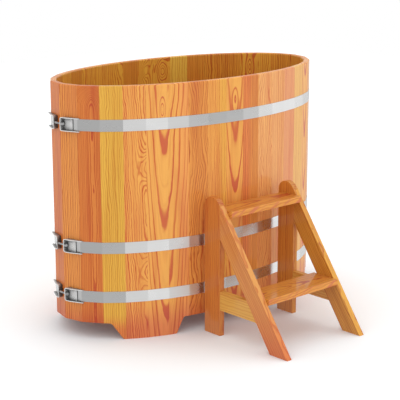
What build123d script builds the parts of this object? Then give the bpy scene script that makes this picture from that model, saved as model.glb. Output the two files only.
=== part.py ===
from build123d import *
import math
import os

# An oval plunge tub of flat staves in three steel hoops, with a two-tread step in front of it.
# The origin is on the floor under the tub's centre: X runs along the tub, -Y points to the step.

# Tub shell
TUB_LENGTH = 1310.0
TUB_WIDTH = 690.0
TUB_HEIGHT = 1020.0
STAVE_COUNT = 36
WALL = 25.0
STAVE_GAP = 0.1
RIM_ROUND = 6.0

# Arches that leave four feet under the wall
ARCH_HEIGHT = 68.0
SIDE_ARCH_HALF = 321.0
END_ARCH_HALF = 208.0
ARCH_TAPER = 31.0
ARCH_ROUND = 14.0
FOOT_ROUND = 9.0

# Floor in its groove, with battens below
FLOOR_BOTTOM = 155.0
FLOOR_THICKNESS = 28.0
GROOVE_DEPTH = 10.0
GROOVE_CLEARANCE = 0.2
BOARD_COUNT = 7
BOARD_GAP = 0.4
BATTEN_FROM_DRAIN = 110.0
BATTEN_WIDTH = 60.0
BATTEN_THICKNESS = 30.0
BATTEN_CLEARANCE = 6.0
SCREW_RADIUS = 2.5
SCREW_HEAD_RADIUS = 4.8
SCREW_HEAD_DEPTH = 3.0
SCREW_GRIP = 18.0
SCREW_CLEARANCE = 0.05
SCREW_MARGIN = 14.0

# Hoops
HOOP_HEIGHTS = {"top": 867.0, "middle": 379.0, "bottom": 177.0}
HOOP_WIDTH = 46.0
HOOP_THICKNESS = 1.6
HOOP_CLEARANCE = 0.1

# Tension locks at the left tip: two bent sheet housings drawn together by a bolt
LOCK_GAP = 40.0
LOCK_SHEET = 3.0
LOCK_STRAP_CLEARANCE = 1.0
LOCK_CORNER = 8.0
LOCK_DEPTH = 20.0
LOCK_CHEEK = 48.0
LOCK_LENGTH = 100.0
LOCK_TAIL = 8.0
LOCK_PLATE_END = 68.0
LOCK_CLEARANCE = 0.3
STRAP_RECESS = 1.5

# Lock bolt and nut
BOLT_RADIUS = 4.0
BOLT_PLATE_GAP = 0.4
BOLT_HOLE_CLEARANCE = 0.5
BOLT_SEAT_GAP = 0.1
BOLT_THREAD_CLEARANCE = 0.05
BOLT_FLANGE_RADIUS = 7.2
BOLT_FLANGE_THICKNESS = 1.5
HEX_ACROSS_FLATS = 12.0
HEX_HEIGHT = 6.0
BOLT_END = 12.0

# Drain in the floor
DRAIN_FROM_END = 215.0
DRAIN_BORE_RADIUS = 19.0
DRAIN_WALL = 3.0
DRAIN_SHOULDER = 1.9
DRAIN_THREAD_SPARE = 6.0
DRAIN_SPIGOT_LENGTH = 40.0
DRAIN_FLANGE_RADIUS = 40.0
DRAIN_FLANGE_THICKNESS = 4.0
DRAIN_HOLE_CLEARANCE = 0.6
GASKET_THICKNESS = 2.0
GASKET_MARGIN = 2.0
DRAIN_NUT_ACROSS_FLATS = 62.0
DRAIN_NUT_HEIGHT = 12.0
DRAIN_THREAD_CLEARANCE = 0.05
PLUG_CLEARANCE = 0.1
PLUG_SEAT_GAP = 0.3
PLUG_HEAD_RADIUS = 26.0
PLUG_HEAD_THICKNESS = 6.0
PLUG_DEPTH = 22.0
PLUG_KNOB_RADIUS = 8.0
PLUG_KNOB_HEIGHT = 16.0
PLUG_ROUND = 2.0

# Step: two side frames with two treads between them
STEP_WIDTH = 442.0
STEP_OFFSET = 7.0
STEP_STANDOFF = 4.5
STEP_BOARD = 25.0
POST_WIDTH = 90.0
POST_HEIGHT = 568.0
POST_REAR_ROUND = 40.0
POST_FRONT_ROUND = 50.0
LEG_DROP = 30.7
LEG_WIDTH = 77.4
LEG_LEAN = 35.2
BRACE_BOTTOM = 109.5
BRACE_HEIGHT = 77.0
TREAD_THICKNESS = 25.0
UPPER_TREAD_DROP = 49.0
UPPER_TREAD_SETBACK = 22.5
UPPER_TREAD_DEPTH = 111.5
LOWER_TREAD_TOP = 210.0
LOWER_TREAD_NOSE = 13.0
LOWER_TREAD_DEPTH = 134.0
EDGE_ROUND = 1.5
NOSE_ROUND = 3.0
DOWEL_RADIUS = 4.0
DOWEL_LENGTH = 36.0
DOWEL_CLEARANCE = 0.05
DOWEL_INSET = 16.0

# How finely the ellipse is measured, and how far a cut runs past what it cuts
ELLIPSE_STEPS = 7200
CUT_OVERRUN = 1.0


def ellipse_point(angle):
    """A point of the outer ellipse; the angle starts at the left tip and goes past the front."""
    return (-TUB_LENGTH / 2 * math.cos(angle), -TUB_WIDTH / 2 * math.sin(angle))


def stave_corners():
    """The corners between staves, evenly spaced along the ellipse, from the left tip past the front."""
    points = [ellipse_point(2 * math.pi * i / ELLIPSE_STEPS) for i in range(ELLIPSE_STEPS + 1)]
    lengths = [0.0]
    for before, after in zip(points, points[1:]):
        lengths.append(lengths[-1] + math.dist(before, after))
    corners = []
    step = 0
    for index in range(STAVE_COUNT):
        target = lengths[-1] * index / STAVE_COUNT
        while lengths[step + 1] < target:
            step += 1
        share = (target - lengths[step]) / (lengths[step + 1] - lengths[step])
        corners.append(ellipse_point(2 * math.pi * (step + share) / ELLIPSE_STEPS))
    return corners


CORNERS = stave_corners()


def edge_direction(index):
    """The unit direction of a stave's outer face, seen from above."""
    start = CORNERS[index % STAVE_COUNT]
    end = CORNERS[(index + 1) % STAVE_COUNT]
    length = math.dist(start, end)
    return ((end[0] - start[0]) / length, (end[1] - start[1]) / length)


def inset_corners(distance):
    """The many-sided outline moved inwards by a distance, or outwards by a negative one."""
    moved = []
    for index, (x, y) in enumerate(CORNERS):
        before = edge_direction(index - 1)
        after = edge_direction(index)
        normal_x = before[1] + after[1]
        normal_y = -before[0] - after[0]
        share = distance / (1 + before[0] * after[0] + before[1] * after[1])
        moved.append((x - normal_x * share, y - normal_y * share))
    return moved


def inner_half_width(x):
    """Half the tub's width inside the wall at a distance from its centre."""
    half_length = TUB_LENGTH / 2 - WALL
    return (TUB_WIDTH / 2 - WALL) * math.sqrt(max(0.0, 1 - (x / half_length) ** 2))


def make_arch(half_width, plane, reach):
    """A foot arch sawn through the wall, wider at the floor than at its top, with all four corners eased."""
    flare = half_width + 3 * FOOT_ROUND
    top_half = half_width - ARCH_TAPER
    with BuildPart() as arch:
        with BuildSketch(plane.offset(-reach)) as outline:
            with BuildLine():
                Polyline(
                    (-flare, -ARCH_HEIGHT),
                    (-flare, 0),
                    (-half_width, 0),
                    (-top_half, ARCH_HEIGHT),
                    (top_half, ARCH_HEIGHT),
                    (half_width, 0),
                    (flare, 0),
                    (flare, -ARCH_HEIGHT),
                    close=True,
                )
            make_face()
            fillet(outline.vertices().group_by(Axis.Y)[-1], ARCH_ROUND)
            at_floor = outline.vertices().group_by(Axis.Y)[1].sort_by(Axis.X)
            fillet(at_floor[1:-1], FOOT_ROUND)
        extrude(amount=2 * reach)
    return arch.part


SIDE_ARCH = make_arch(SIDE_ARCH_HALF, Plane.XZ, TUB_WIDTH)
END_ARCH = make_arch(END_ARCH_HALF, Plane.YZ, TUB_LENGTH)

# The groove that holds the floor runs round the inside of every stave
with BuildPart() as floor_groove:
    with BuildSketch(Plane.XY.offset(FLOOR_BOTTOM - GROOVE_CLEARANCE)):
        with BuildLine():
            Polyline(*inset_corners(WALL - GROOVE_DEPTH), close=True)
        make_face()
    extrude(amount=FLOOR_THICKNESS + 2 * GROOVE_CLEARANCE)


def make_stave(index):
    """One flat stave with mitred sides, a rounded rim, the floor groove and its share of a foot arch."""
    outer = CORNERS
    inner = inset_corners(WALL)
    following = (index + 1) % STAVE_COUNT
    run_x, run_y = edge_direction(index)
    gap_x = run_x * STAVE_GAP / 2
    gap_y = run_y * STAVE_GAP / 2
    with BuildPart() as stave:
        with BuildSketch():
            with BuildLine():
                Polyline(
                    (outer[index][0] + gap_x, outer[index][1] + gap_y),
                    (outer[following][0] - gap_x, outer[following][1] - gap_y),
                    (inner[following][0] - gap_x, inner[following][1] - gap_y),
                    (inner[index][0] + gap_x, inner[index][1] + gap_y),
                    close=True,
                )
            make_face()
        extrude(amount=TUB_HEIGHT)
        rim = stave.faces().sort_by(Axis.Z)[-1]
        fillet(rim.edges().sort_by(SortBy.LENGTH)[-2:], RIM_ROUND)
        add(floor_groove.part, mode=Mode.SUBTRACT)
        add(SIDE_ARCH, mode=Mode.SUBTRACT)
        add(END_ARCH, mode=Mode.SUBTRACT)
    return stave.part


# Floor boards, laid along the tub
FLOOR_HALF_WIDTH = TUB_WIDTH / 2 - WALL + GROOVE_DEPTH - GROOVE_CLEARANCE
BOARD_PITCH = 2 * FLOOR_HALF_WIDTH / BOARD_COUNT
FLOOR_TOP = FLOOR_BOTTOM + FLOOR_THICKNESS
BOARD_CENTRES = [(i - (BOARD_COUNT - 1) / 2) * BOARD_PITCH for i in range(BOARD_COUNT)]
DRAIN_X = TUB_LENGTH / 2 - DRAIN_FROM_END
BATTEN_SPACING = DRAIN_X - BATTEN_FROM_DRAIN
BATTEN_CENTRES = [-BATTEN_SPACING, 0, BATTEN_SPACING]
BATTEN_BOTTOM = FLOOR_BOTTOM - BATTEN_THICKNESS
DRAIN_SPIGOT_RADIUS = DRAIN_BORE_RADIUS + DRAIN_WALL
DRAIN_THREAD_RADIUS = DRAIN_SPIGOT_RADIUS + DRAIN_SHOULDER


def batten_reach(x):
    """Half the length of the batten at x, where it stops short of the wall."""
    return inner_half_width(abs(x) + BATTEN_WIDTH / 2) - BATTEN_CLEARANCE


SCREW_PLACES = [
    (x, y, BATTEN_BOTTOM)
    for x in BATTEN_CENTRES
    for y in BOARD_CENTRES
    if abs(y) + SCREW_MARGIN < batten_reach(x)
]


def make_screw(clearance):
    """A countersunk screw pointing up, or its hole where a clearance is given."""
    with BuildPart() as screw:
        with BuildSketch():
            Circle(SCREW_HEAD_RADIUS + clearance)
        with BuildSketch(Plane.XY.offset(SCREW_HEAD_DEPTH)):
            Circle(SCREW_RADIUS + clearance)
        loft()
        with BuildSketch(Plane.XY.offset(SCREW_HEAD_DEPTH)):
            Circle(SCREW_RADIUS + clearance)
        extrude(amount=BATTEN_THICKNESS - SCREW_HEAD_DEPTH + SCREW_GRIP + clearance)
    return screw.part


SCREW = make_screw(0)
SCREW_HOLE = make_screw(SCREW_CLEARANCE)

with BuildPart() as floor_boards:
    with BuildSketch(Plane.XY.offset(FLOOR_BOTTOM)):
        with BuildLine():
            Polyline(*inset_corners(WALL - GROOVE_DEPTH + GROOVE_CLEARANCE), close=True)
        make_face()
        with Locations(*[(0, y + BOARD_PITCH / 2) for y in BOARD_CENTRES[:-1]]):
            Rectangle(TUB_LENGTH, BOARD_GAP, mode=Mode.SUBTRACT)
        with Locations((DRAIN_X, 0)):
            Circle(DRAIN_THREAD_RADIUS + DRAIN_HOLE_CLEARANCE, mode=Mode.SUBTRACT)
    extrude(amount=FLOOR_THICKNESS)
    with Locations(*SCREW_PLACES):
        add(SCREW_HOLE, mode=Mode.SUBTRACT)

with BuildPart() as floor_battens:
    for batten_x in BATTEN_CENTRES:
        with BuildSketch(Plane.XY.offset(BATTEN_BOTTOM)):
            with Locations((batten_x, 0)):
                Rectangle(BATTEN_WIDTH, 2 * batten_reach(batten_x))
        extrude(amount=BATTEN_THICKNESS)
    with Locations(*SCREW_PLACES):
        add(SCREW_HOLE, mode=Mode.SUBTRACT)

with BuildPart() as batten_screws:
    with Locations(*SCREW_PLACES):
        add(SCREW)


# Points beside the left tip, on the stave in front of it
TIP_X = CORNERS[0][0]
TIP_RUN_X, TIP_RUN_Y = edge_direction(0)


def beside_tip(along, proud):
    """A point at a distance along the first stave from the tip, standing proud of its face."""
    x = TIP_X + TIP_RUN_X * along + TIP_RUN_Y * proud
    y = TIP_RUN_Y * along - TIP_RUN_X * proud
    return (x, y)


def at_depth(depth, proud):
    """A point on the line y = -depth, standing proud of the first stave's face."""
    return beside_tip((depth - TIP_RUN_X * proud) / -TIP_RUN_Y, proud)


def mirrored(point):
    """The same point behind the tip."""
    return (point[0], -point[1])


LOCK_HEIGHT = HOOP_WIDTH + 2 * (LOCK_STRAP_CLEARANCE + LOCK_SHEET)
PLATE_PROUD = HOOP_CLEARANCE + HOOP_THICKNESS + HOOP_CLEARANCE
WALL_INSIDE = LOCK_GAP / 2 + LOCK_SHEET
STRAP_START = WALL_INSIDE + STRAP_RECESS
BOLT_STANDOFF = PLATE_PROUD + LOCK_SHEET + BOLT_PLATE_GAP + BOLT_FLANGE_RADIUS
BOLT_X = at_depth(WALL_INSIDE, BOLT_STANDOFF)[0]


def make_hoop(level):
    """A flat strap bent round every corner, with its two ends under the lock's plates."""
    near = -HOOP_CLEARANCE
    far = near - HOOP_THICKNESS
    inside = [at_depth(STRAP_START, -near)] + inset_corners(near)[1:] + [mirrored(at_depth(STRAP_START, -near))]
    outside = [at_depth(STRAP_START, -far)] + inset_corners(far)[1:] + [mirrored(at_depth(STRAP_START, -far))]
    with BuildPart() as hoop:
        with BuildSketch(Plane.XY.offset(level - HOOP_WIDTH / 2)):
            with BuildLine():
                Polyline(*inside, *reversed(outside), close=True)
            make_face()
        extrude(amount=HOOP_WIDTH)
    return hoop.part


def housing_bounds(inset):
    """The housing's rounded outline seen from the tip, as a long bar; its far end lies past the cheeks."""
    with BuildPart() as bounds:
        with BuildSketch(Plane.YZ.offset(-TUB_LENGTH)):
            with Locations((-LOCK_GAP / 2 - LOCK_LENGTH, 0)):
                RectangleRounded(2 * (LOCK_LENGTH - inset), LOCK_HEIGHT - 2 * inset, LOCK_CORNER - inset)
        extrude(amount=TUB_LENGTH)
    return bounds.part


# The open tray above the plate and beyond its end
with BuildPart() as lock_tray:
    with BuildSketch():
        with BuildLine():
            Polyline(
                at_depth(WALL_INSIDE, PLATE_PROUD + LOCK_SHEET),
                at_depth(WALL_INSIDE, 2 * LOCK_DEPTH),
                beside_tip(2 * LOCK_LENGTH, 2 * LOCK_DEPTH),
                beside_tip(2 * LOCK_LENGTH, -LOCK_DEPTH),
                beside_tip(LOCK_PLATE_END, -LOCK_DEPTH),
                beside_tip(LOCK_PLATE_END, PLATE_PROUD + LOCK_SHEET),
                close=True,
            )
        make_face()
    extrude(amount=LOCK_HEIGHT, both=True)
    add(housing_bounds(LOCK_SHEET), mode=Mode.INTERSECT)

# The room under the plate for the strap's end
with BuildPart() as strap_room:
    with BuildSketch():
        with BuildLine():
            Polyline(
                at_depth(WALL_INSIDE, PLATE_PROUD),
                beside_tip(LOCK_PLATE_END + CUT_OVERRUN, PLATE_PROUD),
                beside_tip(LOCK_PLATE_END + CUT_OVERRUN, -LOCK_DEPTH),
                at_depth(WALL_INSIDE, -LOCK_DEPTH),
                close=True,
            )
        make_face()
    extrude(amount=LOCK_HEIGHT / 2 - LOCK_SHEET, both=True)

with BuildPart() as front_housing:
    with BuildSketch():
        with BuildLine():
            Polyline(
                at_depth(LOCK_GAP / 2, LOCK_CLEARANCE),
                at_depth(LOCK_GAP / 2, LOCK_DEPTH),
                beside_tip(LOCK_CHEEK, LOCK_DEPTH),
                beside_tip(LOCK_LENGTH, LOCK_TAIL),
                beside_tip(LOCK_LENGTH, LOCK_CLEARANCE),
                close=True,
            )
        make_face()
    extrude(amount=LOCK_HEIGHT, both=True)
    add(housing_bounds(0), mode=Mode.INTERSECT)
    add(lock_tray.part, mode=Mode.SUBTRACT)
    add(strap_room.part, mode=Mode.SUBTRACT)
    with BuildSketch(Plane.XZ):
        with Locations((BOLT_X, 0)):
            Circle(BOLT_RADIUS + BOLT_HOLE_CLEARANCE)
    extrude(amount=WALL_INSIDE, both=True, mode=Mode.SUBTRACT)

with BuildPart() as lock_housings:
    with Locations(*[(0, 0, level) for level in HOOP_HEIGHTS.values()]):
        add(front_housing.part)
    mirror(about=Plane.XZ)

HEAD_FACE = WALL_INSIDE + BOLT_SEAT_GAP
NUT_HEIGHT = BOLT_FLANGE_THICKNESS + HEX_HEIGHT


def make_bolt(level):
    """A flanged hexagon bolt along Y, with its head in the front housing."""
    towards_front = Plane((BOLT_X, -HEAD_FACE, level), x_dir=(1, 0, 0), z_dir=(0, -1, 0))
    towards_back = Plane((BOLT_X, -HEAD_FACE, level), x_dir=(1, 0, 0), z_dir=(0, 1, 0))
    with BuildPart() as bolt:
        with BuildSketch(towards_front):
            Circle(BOLT_FLANGE_RADIUS)
        extrude(amount=BOLT_FLANGE_THICKNESS)
        with BuildSketch(towards_front.offset(BOLT_FLANGE_THICKNESS)):
            RegularPolygon(HEX_ACROSS_FLATS / 2, 6, major_radius=False)
        extrude(amount=HEX_HEIGHT)
        with BuildSketch(towards_back):
            Circle(BOLT_RADIUS)
        extrude(amount=2 * HEAD_FACE + BOLT_END)
    return bolt.part


with BuildPart() as lock_nuts:
    for level in HOOP_HEIGHTS.values():
        nut_seat = Plane((BOLT_X, HEAD_FACE, level), x_dir=(1, 0, 0), z_dir=(0, 1, 0))
        with BuildSketch(nut_seat):
            Circle(BOLT_FLANGE_RADIUS)
        extrude(amount=BOLT_FLANGE_THICKNESS)
        with BuildSketch(nut_seat.offset(BOLT_FLANGE_THICKNESS)):
            RegularPolygon(HEX_ACROSS_FLATS / 2, 6, major_radius=False)
        extrude(amount=HEX_HEIGHT)
        with BuildSketch(nut_seat):
            Circle(BOLT_RADIUS + BOLT_THREAD_CLEARANCE)
        extrude(amount=NUT_HEIGHT, mode=Mode.SUBTRACT)

# Drain: the flange lies on a gasket on the floor, a nut holds it from below, and a hose goes on the spigot
FLANGE_BOTTOM = FLOOR_TOP + GASKET_THICKNESS
FLANGE_TOP = FLANGE_BOTTOM + DRAIN_FLANGE_THICKNESS
THREAD_END = FLOOR_BOTTOM - DRAIN_NUT_HEIGHT - DRAIN_THREAD_SPARE
SPIGOT_END = THREAD_END - DRAIN_SPIGOT_LENGTH

with BuildPart() as drain_body:
    with BuildSketch(Plane.XY.offset(FLANGE_BOTTOM)):
        with Locations((DRAIN_X, 0)):
            Circle(DRAIN_FLANGE_RADIUS)
    extrude(amount=DRAIN_FLANGE_THICKNESS)
    chamfer(drain_body.edges().group_by(Axis.Z)[-1], DRAIN_FLANGE_THICKNESS / 2)
    with BuildSketch(Plane.XY.offset(FLANGE_TOP)):
        with Locations((DRAIN_X, 0)):
            Circle(DRAIN_THREAD_RADIUS)
    extrude(amount=THREAD_END - FLANGE_TOP)
    with BuildSketch(Plane.XY.offset(THREAD_END)):
        with Locations((DRAIN_X, 0)):
            Circle(DRAIN_SPIGOT_RADIUS)
    extrude(amount=-DRAIN_SPIGOT_LENGTH)
    with BuildSketch(Plane.XY.offset(SPIGOT_END)):
        with Locations((DRAIN_X, 0)):
            Circle(DRAIN_BORE_RADIUS)
    extrude(amount=FLANGE_TOP - SPIGOT_END, mode=Mode.SUBTRACT)

with BuildPart() as drain_gasket:
    with BuildSketch(Plane.XY.offset(FLOOR_TOP)):
        with Locations((DRAIN_X, 0)):
            Circle(DRAIN_FLANGE_RADIUS - GASKET_MARGIN)
            Circle(DRAIN_THREAD_RADIUS + DRAIN_HOLE_CLEARANCE, mode=Mode.SUBTRACT)
    extrude(amount=GASKET_THICKNESS)

with BuildPart() as drain_nut:
    with BuildSketch(Plane.XY.offset(FLOOR_BOTTOM - DRAIN_NUT_HEIGHT)):
        with Locations((DRAIN_X, 0)):
            RegularPolygon(DRAIN_NUT_ACROSS_FLATS / 2, 6, major_radius=False)
            Circle(DRAIN_THREAD_RADIUS + DRAIN_THREAD_CLEARANCE, mode=Mode.SUBTRACT)
    extrude(amount=DRAIN_NUT_HEIGHT)

PLUG_HEAD_BOTTOM = FLANGE_TOP + PLUG_SEAT_GAP
PLUG_HEAD_TOP = PLUG_HEAD_BOTTOM + PLUG_HEAD_THICKNESS

with BuildPart() as drain_plug:
    with BuildSketch(Plane.XY.offset(FLANGE_TOP - PLUG_DEPTH)):
        with Locations((DRAIN_X, 0)):
            Circle(DRAIN_BORE_RADIUS - PLUG_CLEARANCE)
    extrude(amount=PLUG_DEPTH + PLUG_SEAT_GAP)
    with BuildSketch(Plane.XY.offset(PLUG_HEAD_BOTTOM)):
        with Locations((DRAIN_X, 0)):
            Circle(PLUG_HEAD_RADIUS)
    extrude(amount=PLUG_HEAD_THICKNESS)
    with BuildSketch(Plane.XY.offset(PLUG_HEAD_TOP)):
        with Locations((DRAIN_X, 0)):
            Circle(PLUG_KNOB_RADIUS)
    extrude(amount=PLUG_KNOB_HEIGHT)
    fillet(drain_plug.edges().group_by(Axis.Z)[-1], PLUG_ROUND)

# Step frames, drawn from the side in (y, z)
LEAN = math.tan(math.radians(LEG_LEAN))
STEP_REAR = -TUB_WIDTH / 2 - STEP_STANDOFF
POST_FRONT = STEP_REAR - POST_WIDTH
LEG_TOP = POST_HEIGHT - LEG_DROP
LEG_FOOT_FRONT = POST_FRONT - LEG_TOP * LEAN
LEG_FOOT_REAR = LEG_FOOT_FRONT + LEG_WIDTH / math.cos(math.radians(LEG_LEAN))
STEP_LEFT = STEP_OFFSET - STEP_WIDTH / 2
STEP_RIGHT = STEP_OFFSET + STEP_WIDTH / 2
FRAME_STARTS = {"left": STEP_LEFT, "right": STEP_RIGHT - STEP_BOARD}


def leg_front(height):
    """Where the leg's front edge is at a height."""
    return LEG_FOOT_FRONT + height * LEAN


def leg_rear(height):
    """Where the leg's rear edge is at a height."""
    return LEG_FOOT_REAR + height * LEAN


LEG_BUTT_BOTTOM = (POST_FRONT - LEG_FOOT_REAR) / LEAN
UPPER_TREAD_TOP = POST_HEIGHT - UPPER_TREAD_DROP

# The crown's front round takes this much of its flat top, and the rear round has the rest at most
CROWN_FRONT = leg_front(POST_HEIGHT)
FRONT_ROUND_TAKES = POST_FRONT_ROUND * math.tan(math.radians(90 - LEG_LEAN) / 2)
REAR_ROUND = min(POST_REAR_ROUND, STEP_REAR - CROWN_FRONT - FRONT_ROUND_TAKES - EDGE_ROUND)

# The dowels' middles, each on the face between the two pieces that it joins
LEG_DOWELS = [(POST_FRONT, LEG_BUTT_BOTTOM + DOWEL_INSET), (POST_FRONT, LEG_BUTT_BOTTOM + 4 * DOWEL_INSET)]
BRACE_LEVELS = [BRACE_BOTTOM + DOWEL_INSET, BRACE_BOTTOM + BRACE_HEIGHT - DOWEL_INSET]
BRACE_DOWELS = [(y, z) for z in BRACE_LEVELS for y in (POST_FRONT, leg_rear(z))]
UPPER_MIDDLE = UPPER_TREAD_TOP - TREAD_THICKNESS / 2
LOWER_MIDDLE = LOWER_TREAD_TOP - TREAD_THICKNESS / 2
UPPER_REAR = STEP_REAR - UPPER_TREAD_SETBACK
LOWER_FRONT = leg_front(LOWER_MIDDLE) - LOWER_TREAD_NOSE
TREAD_DOWELS = [
    (UPPER_REAR - DOWEL_INSET, UPPER_MIDDLE),
    (POST_FRONT + DOWEL_INSET, UPPER_MIDDLE),
    (leg_rear(LOWER_MIDDLE) - 2 * DOWEL_INSET, LOWER_MIDDLE),
    (leg_front(LOWER_MIDDLE) + 2 * DOWEL_INSET, LOWER_MIDDLE),
]


def make_dowels(clearance):
    """All dowels of the step, or their holes where a clearance is given."""
    length = DOWEL_LENGTH + 2 * clearance
    with BuildPart() as dowels:
        for start in FRAME_STARTS.values():
            for y, z in LEG_DOWELS + BRACE_DOWELS:
                with BuildSketch(Plane((start + STEP_BOARD / 2, y, z), x_dir=(1, 0, 0), z_dir=(0, 1, 0))):
                    Circle(DOWEL_RADIUS + clearance)
                extrude(amount=length / 2, both=True)
        for x in (STEP_LEFT + STEP_BOARD, STEP_RIGHT - STEP_BOARD):
            for y, z in TREAD_DOWELS:
                with BuildSketch(Plane((x, y, z), x_dir=(0, 1, 0), z_dir=(1, 0, 0))):
                    Circle(DOWEL_RADIUS + clearance)
                extrude(amount=length / 2, both=True)
    return dowels.part


DOWELS = make_dowels(0)
DOWEL_HOLES = make_dowels(DOWEL_CLEARANCE)


def make_post(start):
    """An upright with a rounded top that runs into the leg's slope."""
    with BuildPart() as post:
        with BuildSketch(Plane.YZ.offset(start)) as outline:
            with BuildLine():
                Polyline(
                    (STEP_REAR, 0),
                    (STEP_REAR, POST_HEIGHT),
                    (CROWN_FRONT, POST_HEIGHT),
                    (POST_FRONT, LEG_TOP),
                    (POST_FRONT, 0),
                    close=True,
                )
            make_face()
            crown = outline.vertices().group_by(Axis.Y)[-1]
            fillet(crown.sort_by(Axis.X)[0], POST_FRONT_ROUND)
            rear_edge = outline.vertices().group_by(Axis.X)[-1]
            fillet(rear_edge.sort_by(Axis.Y)[-1], REAR_ROUND)
        extrude(amount=STEP_BOARD)
        fillet(post.edges().filter_by(Axis.X, reverse=True), EDGE_ROUND)
        add(DOWEL_HOLES, mode=Mode.SUBTRACT)
    return post.part


def make_leg(start):
    """A leaning board whose upper end is cut upright and butts against the post."""
    with BuildPart() as leg:
        with BuildSketch(Plane.YZ.offset(start)):
            with BuildLine():
                Polyline(
                    (POST_FRONT, LEG_TOP),
                    (LEG_FOOT_FRONT, 0),
                    (LEG_FOOT_REAR, 0),
                    (POST_FRONT, LEG_BUTT_BOTTOM),
                    close=True,
                )
            make_face()
        extrude(amount=STEP_BOARD)
        fillet(leg.edges().filter_by(Axis.X, reverse=True), EDGE_ROUND)
        add(DOWEL_HOLES, mode=Mode.SUBTRACT)
    return leg.part


def make_brace(start):
    """A level board on edge between the post and the leg."""
    top = BRACE_BOTTOM + BRACE_HEIGHT
    with BuildPart() as brace:
        with BuildSketch(Plane.YZ.offset(start)):
            with BuildLine():
                Polyline(
                    (POST_FRONT, BRACE_BOTTOM),
                    (POST_FRONT, top),
                    (leg_rear(top), top),
                    (leg_rear(BRACE_BOTTOM), BRACE_BOTTOM),
                    close=True,
                )
            make_face()
        extrude(amount=STEP_BOARD)
        fillet(brace.edges().filter_by(Axis.X, reverse=True), EDGE_ROUND)
        add(DOWEL_HOLES, mode=Mode.SUBTRACT)
    return brace.part


def make_tread(rear, front, top):
    """A level board between the two side frames, with its long edges rounded."""
    length = STEP_WIDTH - 2 * STEP_BOARD
    with BuildPart() as tread:
        with BuildSketch(Plane.XY.offset(top - TREAD_THICKNESS)):
            with Locations((STEP_OFFSET, (rear + front) / 2)):
                Rectangle(length, rear - front)
        extrude(amount=TREAD_THICKNESS)
        fillet(tread.edges().filter_by(Axis.X), NOSE_ROUND)
        add(DOWEL_HOLES, mode=Mode.SUBTRACT)
    return tread.part


with BuildPart() as step_dowels:
    add(DOWELS)

pieces = {
    "floor_boards": floor_boards.part,
    "floor_battens": floor_battens.part,
    "batten_screws": batten_screws.part,
    "lock_housings": lock_housings.part,
    "lock_nuts": lock_nuts.part,
    "drain_body": drain_body.part,
    "drain_gasket": drain_gasket.part,
    "drain_nut": drain_nut.part,
    "drain_plug": drain_plug.part,
    "step_tread_upper": make_tread(UPPER_REAR, UPPER_REAR - UPPER_TREAD_DEPTH, UPPER_TREAD_TOP),
    "step_tread_lower": make_tread(LOWER_FRONT + LOWER_TREAD_DEPTH, LOWER_FRONT, LOWER_TREAD_TOP),
    "step_dowels": step_dowels.part,
}
for index in range(STAVE_COUNT):
    pieces[f"stave_{index + 1:02d}"] = make_stave(index)
for place, level in HOOP_HEIGHTS.items():
    pieces[f"hoop_{place}"] = make_hoop(level)
    pieces[f"lock_bolt_{place}"] = make_bolt(level)
for side, start in FRAME_STARTS.items():
    pieces[f"step_post_{side}"] = make_post(start)
    pieces[f"step_leg_{side}"] = make_leg(start)
    pieces[f"step_brace_{side}"] = make_brace(start)

os.makedirs("parts", exist_ok=True)
for name, piece in pieces.items():
    piece.label = name
    export_step(piece, f"parts/{name}.step")
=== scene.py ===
import math

import bpy
from mathutils import Matrix, Vector


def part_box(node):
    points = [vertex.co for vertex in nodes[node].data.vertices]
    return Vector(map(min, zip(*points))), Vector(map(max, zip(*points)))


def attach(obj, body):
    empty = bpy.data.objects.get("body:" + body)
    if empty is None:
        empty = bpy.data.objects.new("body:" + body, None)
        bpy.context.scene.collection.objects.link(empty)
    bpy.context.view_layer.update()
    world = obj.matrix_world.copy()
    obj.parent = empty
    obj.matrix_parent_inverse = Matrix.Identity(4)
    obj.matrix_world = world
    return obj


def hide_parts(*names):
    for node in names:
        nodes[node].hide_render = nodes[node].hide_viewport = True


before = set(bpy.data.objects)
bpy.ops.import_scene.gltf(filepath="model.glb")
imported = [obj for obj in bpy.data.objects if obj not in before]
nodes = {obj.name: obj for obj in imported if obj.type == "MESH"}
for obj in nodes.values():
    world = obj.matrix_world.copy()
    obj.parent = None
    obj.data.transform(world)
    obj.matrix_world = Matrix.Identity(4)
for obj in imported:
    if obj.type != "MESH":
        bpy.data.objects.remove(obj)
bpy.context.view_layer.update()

# The 36 staves: planed larch boards with mitred sides, edge to edge round the oval, under a satin varnish.
# Each one is cut from another part of a log, so each has its own tone and its own figure of growth rings.
# The three hoops press them together. Some of the staves run on below the wall as feet.


def feed(tree, socket, value):
    """Links a socket to this one, or sets this one's value."""
    if isinstance(value, bpy.types.NodeSocket):
        tree.links.new(value, socket)
    else:
        socket.default_value = value


def reckon(tree, operation, first, second=0.0):
    """A Math node on two sockets or numbers."""
    node = tree.nodes.new("ShaderNodeMath")
    node.operation = operation
    feed(tree, node.inputs[0], first)
    feed(tree, node.inputs[1], second)
    return node.outputs[0]


def total(tree, first, *others):
    """The sum of sockets or numbers."""
    for other in others:
        first = reckon(tree, "ADD", first, other)
    return first


def product(tree, first, *others):
    """The product of sockets or numbers."""
    for other in others:
        first = reckon(tree, "MULTIPLY", first, other)
    return first


def apart(tree, vector):
    """The X, Y and Z of a vector."""
    node = tree.nodes.new("ShaderNodeSeparateXYZ")
    feed(tree, node.inputs[0], vector)
    return node.outputs


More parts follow.
